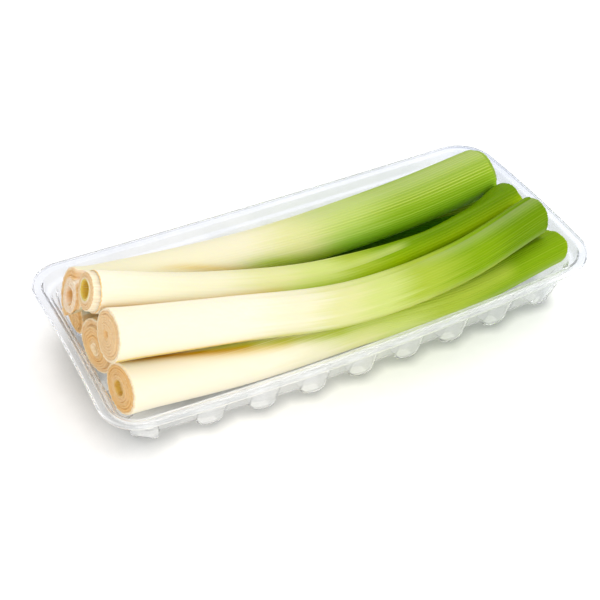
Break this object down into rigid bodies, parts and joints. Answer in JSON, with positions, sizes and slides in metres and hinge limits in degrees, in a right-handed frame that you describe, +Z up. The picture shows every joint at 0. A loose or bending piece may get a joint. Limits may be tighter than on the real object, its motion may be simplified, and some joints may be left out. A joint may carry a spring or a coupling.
{
  "type": "leek bunch in a tray",
  "caption": "Trimmed leeks piled lengthwise in a shallow clear moulded tray with a flat rim and rounded feet.",
  "frame": {"origin": "under the middle of the tray's outline, at the undersides of its feet", "axes": "+X along the leeks to their cut green ends, +Y to the rear long side, +Z up"},
  "size_m": [0.302, 0.1382, 0.0761],
  "materials": {
    "clear_tray": "clear moulded gloss",
    "leek_green": "satin, ribbed, ivory to fresh green",
    "leek_pale": "satin, ribbed, ivory to light green"
  },
  "bodies": {
    "root": {"tray": "clear_tray", "leek_rear": "leek_green", "leek_upper": "leek_pale", "leek_front": "leek_pale", "leek_low_front": "leek_green", "leek_low_rear": "leek_pale", "leek_low_middle": "leek_pale"}
  },
  "joints": []
}
